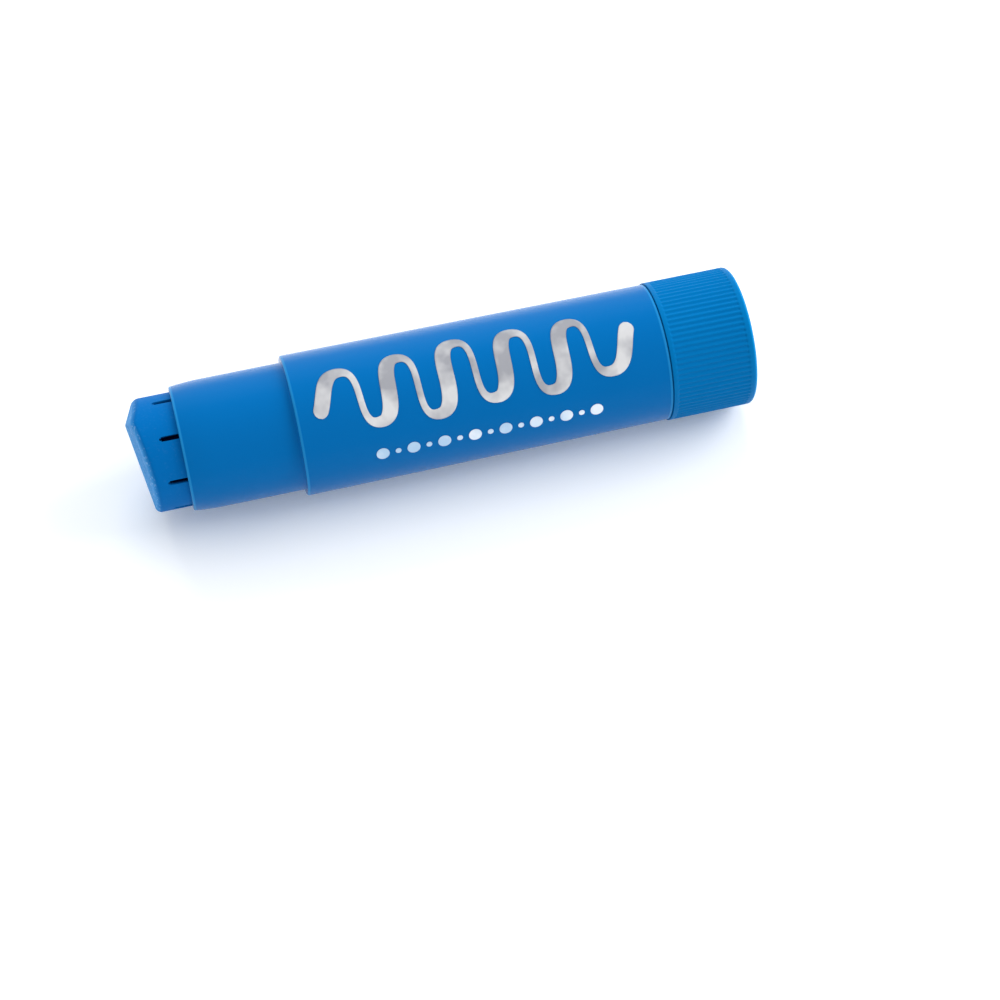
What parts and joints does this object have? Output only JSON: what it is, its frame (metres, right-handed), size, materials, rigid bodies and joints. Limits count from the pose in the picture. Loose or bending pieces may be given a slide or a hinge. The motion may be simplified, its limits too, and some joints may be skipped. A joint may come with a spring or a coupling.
{
  "type": "paint stick",
  "caption": "Twist-up stick of solid blue paint in a stepped round barrel with a ribbed turning knob; the knob's screw raises and lowers the paint, whose point is low and faceted.",
  "frame": {"origin": "centre of the knob's flat end, on which the stick stands", "axes": "+Z along the stick from the knob to the paint's point, -Y the front of the barrel"},
  "size_m": [0.0229, 0.0228, 0.1006],
  "materials": {
    "barrel": "glossy blue",
    "knob": "satin blue",
    "mechanism": "plain white",
    "paint": "matt waxy blue"
  },
  "bodies": {
    "barrel": {"barrel": "barrel"},
    "knob": {"twist_knob": "knob", "lead_screw": "mechanism"},
    "carriage": {"carriage": "mechanism", "paint_stick": "paint"}
  },
  "joints": [
    {"name": "knob_twist", "type": "hinge", "parent": "barrel", "child": "knob", "pos_m": [0, 0, 0.007], "axis": [0, 0, 1], "range_deg": [-510, 3090]},
    {"name": "paint_slide", "type": "slide", "parent": "barrel", "child": "carriage", "axis": [0, 0, 1], "range_m": [-0.0085, 0.0515]}
  ],
  "couplings": [
    {"joint": "paint_slide", "follows": "knob_twist", "m_per_rad": 0.00095492}
  ]
}
